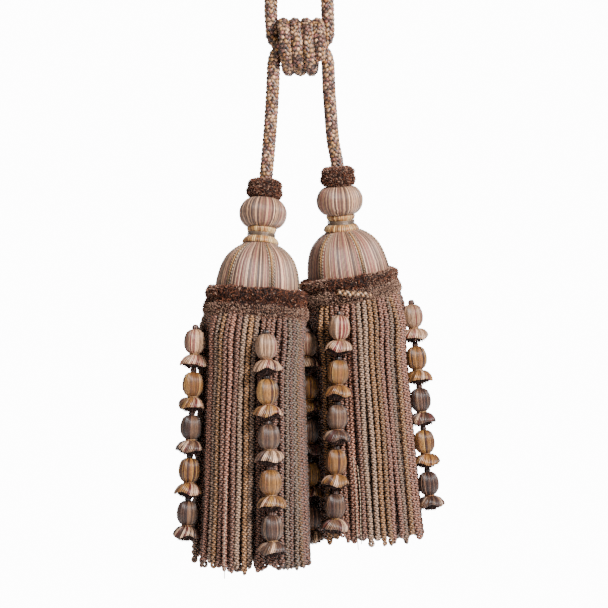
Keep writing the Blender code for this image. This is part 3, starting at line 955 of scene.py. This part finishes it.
# Rose, mauve, taupe, light and gold.
FRINGE_DYES = {
    "R": (0.43, 0.17, 0.10),
    "M": (0.26, 0.105, 0.06),
    "T": (0.27, 0.145, 0.085),
    "L": (0.35, 0.20, 0.12),
    "G": (0.38, 0.17, 0.06),
}
FRONT = {"left": "TMTMRRTGMRMLGTMMMRRLMLGRRMMM", "right": "MMMMMMTGGMMMRMLLGGRRTGRRGRMM"}
RIGHT_FLANK = (0.3, 2)
RIGHT_FLANK_SHADE = {"left": 0.46, "right": 0.7}


def dye_and_shade_of(side, angle, rng):
    """Front ropes follow the picture's dyes, and the right flank gets painted shade. The others are dealt
    out.
    """
    place = math.floor((angle + math.pi / 2) / math.pi * len(FRONT[side]))
    if 0 <= place < len(FRONT[side]):
        letter = FRONT[side][place]
    else:
        letter = rng.choice(list("RRMTLGM"))
    dye = np.array(FRINGE_DYES[letter]) * rng.uniform(0.85, 1.15)
    # Painted shade: ropes on the right flank are darkened, more on the left tassel.
    if RIGHT_FLANK[0] < angle < RIGHT_FLANK[1]:
        dye = dye * RIGHT_FLANK_SHADE[side]
    return dye


# %% Ropes
# Name, number of ropes, the strand's radius and the step along it in mm, from the outer row to the inner
# one.
ROPE_ROWS = (
    ("outer_ropes", 56, 1.18, 1.2),
    ("middle_ropes", 46, 1.5, 2.3),
    ("inner_ropes", 30, 2.2, 4.0),
)
for number, side in enumerate(TASSELS):
    rng = np.random.default_rng(40 + number)
    for row, (name, count, strand, step) in enumerate(ROPE_ROWS):
        paths, colours = [], []
        for rope in range(count):
            angle = math.remainder(math.tau * (rope + 0.5) / count, math.tau)
            line = rope_line(side, angle, row, rng, step * MM)
            pitch = rng.uniform(7.6, 8.6) * (1 + row * 0.8) * MM
            paths.append(looped(line, strand * MM, pitch, rng.uniform(0, math.tau)))
            # Painted shade: the middle and inner rows are darkened to 0.7 of the outer row.
            colours.append(dye_and_shade_of(side, angle, rng) * (1 if row == 0 else 0.7))
        ropes = make_yarns(f"{side}_{name}", paths, [strand * MM] * count, colours, ROPE_YARN)
        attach(ropes, "root")
        if row == 0:
            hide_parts(f"{side}_skirt")
        print(ropes.name, len(ropes.data.polygons), "faces")

# %% [markdown]
# ## Stray threads
# Three fine threads have come loose from the ropes, and hang before them down to about their tips. They
# are single yarns that wander a little from side to side.

# %% Stray threads
# Side, angle from the front in degrees, and where the thread starts and ends in mm.
STRAYS = (
    ("left", -27, -370, -436),
    ("right", -9.5, -360, -424),
    ("right", -6, -366, -420),
)
strays = []
for side, degrees, first, last in STRAYS:
    line = []
    for height in np.linspace(first, last, 30) * MM:
        turn = math.radians(degrees) + 0.012 * math.sin(height * 110)
        reach = skirt_radius(side, height) + 0.7 * MM
        line.append(skirt_centre(side, height) + round_the_front(turn) * reach)
    strays.append(np.array(line))
loose = make_yarns("stray_threads", strays, [0.3 * MM] * 3, [(0.46, 0.32, 0.2)] * 3, CORD_YARN)
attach(loose, "root")
print("stray threads:", len(strays))

# %% [markdown]
# ## The strings of drops
# A drop is a knot of string, an oval bead covered with threads, a gold binding and a flared skirt of
# threads over a dark chenille tuft. All are turned shapes, and the skirt's rim is then bent into a few
# folds, like petals. Each string's five drops are one piece.

# %% Profiles and dyes of the drops
DROP_SHADES = {
    "rose": (PALE, CREAM, PEARL, PALE, ROSE, PEARL, CREAM, PEARL, (0.22, 0.04, 0.032)),
    "gold": (
        (0.25, 0.10, 0.02), (0.48, 0.235, 0.055), (0.32, 0.13, 0.024),
        (0.08, 0.02, 0.005), AMBER, (0.36, 0.15, 0.034),
    ),
    "mauve": (
        (0.085, 0.034, 0.019), (0.17, 0.08, 0.042),
        (0.11, 0.048, 0.027), (0.035, 0.01, 0.006), (0.20, 0.10, 0.052),
    ),
}
DROP_ORDER = ("rose", "gold", "mauve", "gold", "mauve")
KNOT_PROFILE = ((0.3, 0.4), (1.5, 0.2), (2.3, -1.2), (2.4, -2.4), (1.6, -3.6))
BEAD_PROFILE = (
    (1.4, -2.8), (3.6, -3.3), (5.8, -5.0), (7.0, -8.2),
    (7.4, -11.5), (7.0, -15.0), (5.4, -18.0), (3.2, -19.6),
)
BINDING_PROFILE = ((2.8, -18.9), (3.7, -19.2), (3.8, -19.9), (2.9, -20.4))
PETAL_PROFILE = (
    (3.0, -20.0), (5.2, -20.6), (7.6, -22.2), (9.2, -24.6),
    (9.7, -26.4), (9.3, -26.8), (7.0, -25.4), (3.6, -24.6),
)
TUFT_PROFILE = ((7.2, -24.6), (7.6, -26.0), (6.0, -27.4), (3.6, -28.4), (0.4, -28.8))


def petals(phase):
    """Bends the skirt's rim into a few folds, deeper towards the rim."""
    def bend(places, angles):
        rim = np.clip((np.hypot(places[:, 0], places[:, 1]) / MM - 4) / 5.6, 0, 1)
        fold = np.sin(3 * angles + phase) + 0.5 * np.sin(5 * angles + 2 * phase)
        out = places.copy()
        out[:, :2] *= (1 + 0.05 * rim * np.cos(3 * angles + phase))[:, None]
        out[:, 2] += 1.0 * MM * fold * rim
        return out
    return bend


# %% Drops
for number, string in enumerate(STRINGS):
    side, _, _, first, pitch = string
    threads, tufts = [], []
    for index, kind in enumerate(DROP_ORDER):
        seed = 100 + 10 * number + index
        bead = string_point(string, (first - pitch * index) * MM)
        below = string_point(string, (first - pitch * (index + 1)) * MM)
        down = (below - bead).normalized()
        turn = Vector((0, 0, -1)).rotation_difference(down).to_matrix().to_4x4()
        place = Matrix.Translation(bead - down * 10.2 * MM) @ turn @ Matrix.Rotation(seed, 4, "Z")
        dyes = streaks(48, DROP_SHADES[kind], seed, 0.5)
        threads.append((turned(in_mm(KNOT_PROFILE), 10, np.array([BROWN, MAUVE]), 8), place))
        threads.append((turned(in_mm(BEAD_PROFILE), 96, dyes, 48, lump=0.02), place))
        threads.append((turned(in_mm(BINDING_PROFILE), 20, np.array([AMBER, GOLD]), 20), place))
        dyes = streaks(45, (PALE, *DROP_SHADES[kind], WINE), seed + 5, 0.45)
        skirt = turned(in_mm(PETAL_PROFILE), 90, dyes, 45, swirl=-40, lump=0.03, shape=petals(seed))
        threads.append((skirt, place))
        tuft = turned(in_mm(TUFT_PROFILE), 14, np.array([BROWN]), 8)
        add_attribute(tuft, "light", np.full(len(tuft.vertices), 0.03))
        tufts.append((with_pile(tuft, 1.1, 2.4 * MM, 0.55 * MM), place))
    index = [other[0] for other in STRINGS[:number]].count(side) + 1
    nodes = [f"{side}_string_{index}_drop_{drop}" for drop in range(1, 6)]
    beads = joined(f"{side}_string_{index}_drops", threads, DROP_THREAD)
    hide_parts(*nodes)
    fluff = joined(f"{side}_string_{index}_tufts", tufts, DARK_TUFT)
    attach(beads, "root")
    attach(fluff, "root")
print("one string:", len(beads.data.polygons), "faces, tufts:", len(fluff.data.polygons))

# %% [markdown]
# ## Floor and light
# A pale floor lies below. A lit white sheet hangs far behind, so that it whitens the picture and barely
# lights the tassels. The key lamp stands high on the right and leaves the left flanks in shade, which a
# weak fill softens.

# %% Studio
def make_lamp(name, place, aim, size, power):
    lamp = bpy.data.lights.new(name, "AREA")
    lamp.size = size
    lamp.energy = power
    holder = bpy.data.objects.new(name, lamp)
    holder.location = place
    holder.rotation_euler = (Vector(aim) - Vector(place)).to_track_quat("-Z", "Y").to_euler()
    bpy.context.collection.objects.link(holder)


make_lamp("key", (0.85, -1.0, 0.5), (0, 0, -0.25), 0.4, 74)
make_lamp("fill", (-1.3, -1.1, -0.1), (0, 0, -0.25), 1.2, 6)
world = bpy.data.worlds.new("studio")
world.use_nodes = True
world.node_tree.nodes["Background"].inputs["Color"].default_value = (1, 1, 1, 1)
world.node_tree.nodes["Background"].inputs["Strength"].default_value = 0.31
bpy.context.scene.world = world


def make_paper(name, size, place, turn, glow):
    work = bmesh.new()
    bmesh.ops.create_grid(work, x_segments=1, y_segments=1, size=size / 2)
    work.transform(Matrix.Translation(place) @ Matrix.Rotation(turn, 4, "X"))
    mesh = bpy.data.meshes.new(name)
    work.to_mesh(mesh)
    work.free()
    paper = bpy.data.materials.new(name)
    paper.use_nodes = True
    shader = paper.node_tree.nodes["Principled BSDF"]
    shader.inputs["Base Color"].default_value = (0.9, 0.9, 0.9, 1)
    shader.inputs["Roughness"].default_value = 0.9
    shader.inputs["Emission Color"].default_value = (1, 1, 1, 1)
    shader.inputs["Emission Strength"].default_value = glow
    return show(mesh, name, paper)


make_paper("floor", 2.6, (0, -0.6, -0.62), 0, 0)
make_paper("backdrop", 2.9, (0, 6, -0.25), math.pi / 2, 13)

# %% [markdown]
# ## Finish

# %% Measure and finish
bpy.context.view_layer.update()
pieces = [item for item in bpy.data.objects if item.type == "MESH" and item.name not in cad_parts]
print("faces in all:", sum(len(item.data.polygons) for item in pieces))
